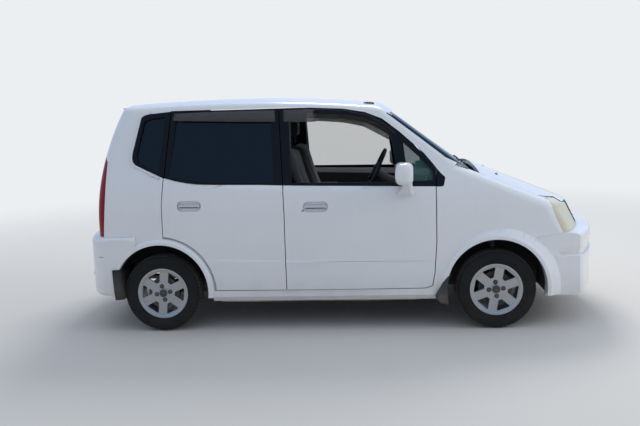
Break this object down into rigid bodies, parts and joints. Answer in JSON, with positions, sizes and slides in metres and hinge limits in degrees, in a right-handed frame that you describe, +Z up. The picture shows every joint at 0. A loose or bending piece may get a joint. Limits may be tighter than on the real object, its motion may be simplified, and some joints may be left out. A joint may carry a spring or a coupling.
{
  "type": "compact minivan",
  "caption": "Small tall five-door passenger car with sloping bonnet, opening doors, tailgate and bonnet, steered front wheels and rolling wheels on alloy rims.",
  "frame": {"origin": "on the ground below the middle of the car's length and width", "axes": "+X to the front, -Y to the right-hand side, +Z up"},
  "size_m": [3.7748, 1.904, 1.6499],
  "materials": {
    "body_paint": "gloss",
    "clear_glass": "gloss",
    "dark_glass": "gloss",
    "lamp_lens": "gloss",
    "red_lens": "gloss",
    "black_plastic": "matte",
    "trim_plastic": "matte",
    "seat_cloth": "woven",
    "engine_metal": "cast",
    "dark_steel": "satin",
    "exhaust_steel": "dull",
    "tyre_rubber": "matte",
    "alloy": "satin"
  },
  "bodies": {
    "body": {"side_frame_right": "body_paint", "side_frame_left": "body_paint", "roof_panel": "body_paint", "fender_right": "body_paint", "fender_left": "body_paint", "front_bumper": "body_paint", "rear_bumper": "body_paint", "windscreen": "clear_glass", "quarter_glass": "dark_glass", "headlamps": "lamp_lens", "tail_lamps": "red_lens", "grille": "black_plastic", "cowl_panel": "black_plastic", "dashboard": "trim_plastic", "steering_column": "trim_plastic", "front_seats": "seat_cloth", "rear_seat": "seat_cloth", "engine_block": "engine_metal", "front_suspension": "dark_steel", "rear_axle": "dark_steel", "exhaust": "exhaust_steel", "mud_flaps": "black_plastic", "floor_pan": "body_paint"},
    "front_right_door": {"front_door_right": "body_paint", "front_vent_glass_right": "clear_glass", "mirror_right": "body_paint"},
    "front_left_door": {"front_door_left": "body_paint", "front_door_glass_left": "clear_glass", "mirror_left": "body_paint"},
    "rear_right_door": {"rear_door_right": "body_paint", "rear_door_glass_right": "dark_glass"},
    "rear_left_door": {"rear_door_left": "body_paint", "rear_door_glass_left": "dark_glass"},
    "tailgate_body": {"tailgate": "body_paint", "tailgate_glass": "dark_glass"},
    "bonnet_body": {"bonnet": "body_paint"},
    "right_knuckle": {"knuckle_right": "dark_steel"},
    "left_knuckle": {"knuckle_left": "dark_steel"},
    "steering": {"steering_wheel": "black_plastic"},
    "front_right_wheel": {"tyre_front_right": "tyre_rubber", "rim_front_right": "alloy"},
    "front_left_wheel": {"tyre_front_left": "tyre_rubber", "rim_front_left": "alloy"},
    "rear_right_wheel": {"tyre_rear_right": "tyre_rubber", "rim_rear_right": "alloy"},
    "rear_left_wheel": {"tyre_rear_left": "tyre_rubber", "rim_rear_left": "alloy"}
  },
  "joints": [
    {"name": "front_right_door_hinge", "type": "hinge", "parent": "body", "child": "front_right_door", "pos_m": [0.6355, -0.784, 0.68], "axis": [0, 0, 1], "range_deg": [0, 65]},
    {"name": "front_left_door_hinge", "type": "hinge", "parent": "body", "child": "front_left_door", "pos_m": [0.6355, 0.784, 0.68], "axis": [0, 0, -1], "range_deg": [0, 65]},
    {"name": "rear_right_door_hinge", "type": "hinge", "parent": "body", "child": "rear_right_door", "pos_m": [-0.4075, -0.797, 0.68], "axis": [0, 0, 1], "range_deg": [0, 65]},
    {"name": "rear_left_door_hinge", "type": "hinge", "parent": "body", "child": "rear_left_door", "pos_m": [-0.4075, 0.797, 0.68], "axis": [0, 0, -1], "range_deg": [0, 65]},
    {"name": "tailgate_hinge", "type": "hinge", "parent": "body", "child": "tailgate_body", "pos_m": [-1.4975, 0, 1.6], "axis": [0, 1, 0], "range_deg": [0, 80]},
    {"name": "bonnet_hinge", "type": "hinge", "parent": "body", "child": "bonnet_body", "pos_m": [0.9635, 0, 1.06], "axis": [0, -1, 0], "range_deg": [0, 50]},
    {"name": "right_knuckle_steer", "type": "hinge", "parent": "body", "child": "right_knuckle", "pos_m": [1.1025, -0.668, 0.19], "axis": [0, 0.1542, 0.988], "range_deg": [-32, 32]},
    {"name": "left_knuckle_steer", "type": "hinge", "parent": "body", "child": "left_knuckle", "pos_m": [1.1025, 0.668, 0.19], "axis": [0, -0.1542, 0.988], "range_deg": [-32, 32]},
    {"name": "steering_wheel_turn", "type": "hinge", "parent": "body", "child": "steering", "pos_m": [0.275, -0.37, 1.073], "axis": [-0.9003, 0, 0.4352], "range_deg": [-480, 480]},
    {"name": "front_right_wheel_spin", "type": "hinge", "parent": "right_knuckle", "child": "front_right_wheel", "pos_m": [1.1025, -0.707, 0.278], "axis": [0, 1, 0], "continuous": true},
    {"name": "front_left_wheel_spin", "type": "hinge", "parent": "left_knuckle", "child": "front_left_wheel", "pos_m": [1.1025, 0.707, 0.278], "axis": [0, 1, 0], "continuous": true},
    {"name": "rear_right_wheel_spin", "type": "hinge", "parent": "body", "child": "rear_right_wheel", "pos_m": [-1.2575, -0.707, 0.278], "axis": [0, 1, 0], "continuous": true},
    {"name": "rear_left_wheel_spin", "type": "hinge", "parent": "body", "child": "rear_left_wheel", "pos_m": [-1.2575, 0.707, 0.278], "axis": [0, 1, 0], "continuous": true}
  ],
  "couplings": [
    {"joint": "left_knuckle_steer", "follows": "right_knuckle_steer", "ratio": 1},
    {"joint": "steering_wheel_turn", "follows": "right_knuckle_steer", "ratio": 15}
  ]
}
